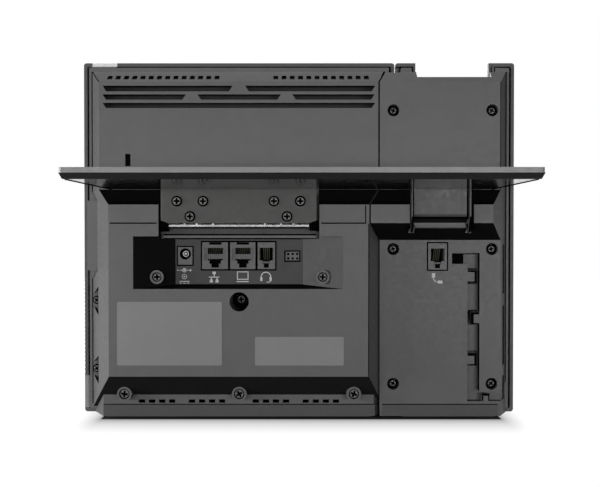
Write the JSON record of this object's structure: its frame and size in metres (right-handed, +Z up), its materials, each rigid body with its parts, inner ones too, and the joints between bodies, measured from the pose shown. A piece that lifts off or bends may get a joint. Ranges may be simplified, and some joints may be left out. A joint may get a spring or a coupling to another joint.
{
  "type": "desk telephone",
  "caption": "Upright desk telephone with a touch display, a handset on its cradle, and a hinged plate stand behind.",
  "frame": {"origin": "on the desk, under the middle of the phone's width, at the shells' depth datum", "axes": "+X to the right as seen by the user, +Y from the front to the back, +Z up"},
  "size_m": [0.2496, 0.1615, 0.203],
  "materials": {
    "case_grey": "fine moulded grain",
    "front_black": "satin",
    "stand_grey": "satin",
    "stand_gloss": "polished",
    "key_grey": "satin",
    "light_lens": "frosted",
    "jack_black": "moulded",
    "jack_grey": "moulded",
    "screw_steel": "zinc plated",
    "rod_steel": "ground",
    "contact_gold": "plated",
    "foot_rubber": "matte",
    "cover_glass": "polished",
    "panel_metal": "folded sheet",
    "board_green": "solder mask"
  },
  "bodies": {
    "base": {"main_rear_housing": "case_grey", "module_rear_housing": "case_grey", "jack_panel": "case_grey", "hinge_base": "case_grey", "front_bezel": "front_black", "module_front": "front_black", "speaker_grille": "front_black", "cradle_hook": "front_black", "loudspeaker": "front_black", "message_light": "light_lens", "usb_tongues": "jack_black", "hook_switch": "jack_black", "friction_washers": "jack_black", "power_jack": "jack_grey", "lan_jack": "jack_grey", "pc_jack": "jack_grey", "headset_jack": "jack_grey", "handset_jack": "jack_grey", "console_header": "jack_grey", "case_screws": "screw_steel", "module_screws": "screw_steel", "usb_ports": "screw_steel", "arm_pins": "rod_steel", "jack_contacts": "contact_gold", "header_pins": "contact_gold", "power_pin": "contact_gold", "main_foot_pad": "foot_rubber", "module_foot_pad": "foot_rubber", "key_mat": "foot_rubber", "display_glass": "cover_glass", "lcd_tray": "panel_metal", "lcd_module": "panel_metal", "main_board": "board_green", "module_board": "board_green"},
    "stand": {"stand_plate": "stand_grey", "stand_cover": "stand_gloss", "stand_edge_strip": "foot_rubber", "hinge_bracket": "case_grey", "hinge_leaf": "rod_steel", "hinge_rod": "rod_steel", "bracket_screws": "screw_steel", "side_arm": "case_grey"},
    "handset": {"handset_shell": "front_black", "handset_cover": "front_black", "receiver_capsule": "front_black", "handset_microphone": "front_black", "handset_weight": "screw_steel", "handset_socket": "jack_black"},
    "hook_plunger": {"hook_plunger": "front_black"},
    "key_home": {"key_home": "key_grey"},
    "key_headset": {"key_headset": "key_grey"},
    "key_speaker": {"key_speaker": "key_grey"},
    "key_mute": {"key_mute": "key_grey"},
    "key_volume_down": {"key_volume_down": "key_grey"},
    "key_volume_up": {"key_volume_up": "key_grey"}
  },
  "joints": [
    {"name": "stand_fold", "type": "hinge", "parent": "base", "child": "stand", "pos_m": [0.033, 0.016, 0.1084], "axis": [1, 0, 0], "range_deg": [-90, 0]},
    {"name": "handset_lift", "type": "slide", "parent": "base", "child": "handset", "axis": [0, -0.9409, 0.3387], "range_m": [0, 0.06]},
    {"name": "hook_travel", "type": "slide", "parent": "base", "child": "hook_plunger", "axis": [0, -1, 0], "range_m": [0, 0.002]},
    {"name": "key_home_press", "type": "slide", "parent": "base", "child": "key_home", "axis": [0, 1, 0], "range_m": [0, 0.0008], "stiffness_N_per_m": 300},
    {"name": "key_headset_press", "type": "slide", "parent": "base", "child": "key_headset", "axis": [0, 1, 0], "range_m": [0, 0.0008], "stiffness_N_per_m": 300},
    {"name": "key_speaker_press", "type": "slide", "parent": "base", "child": "key_speaker", "axis": [0, 1, 0], "range_m": [0, 0.0008], "stiffness_N_per_m": 300},
    {"name": "key_mute_press", "type": "slide", "parent": "base", "child": "key_mute", "axis": [0, 1, 0], "range_m": [0, 0.0008], "stiffness_N_per_m": 300},
    {"name": "key_volume_down_press", "type": "slide", "parent": "base", "child": "key_volume_down", "axis": [0, 1, 0], "range_m": [0, 0.0008], "stiffness_N_per_m": 300},
    {"name": "key_volume_up_press", "type": "slide", "parent": "base", "child": "key_volume_up", "axis": [0, 1, 0], "range_m": [0, 0.0008], "stiffness_N_per_m": 300}
  ],
  "couplings": [
    {"joint": "hook_travel", "follows": "handset_lift", "ratio": 0.0333}
  ]
}
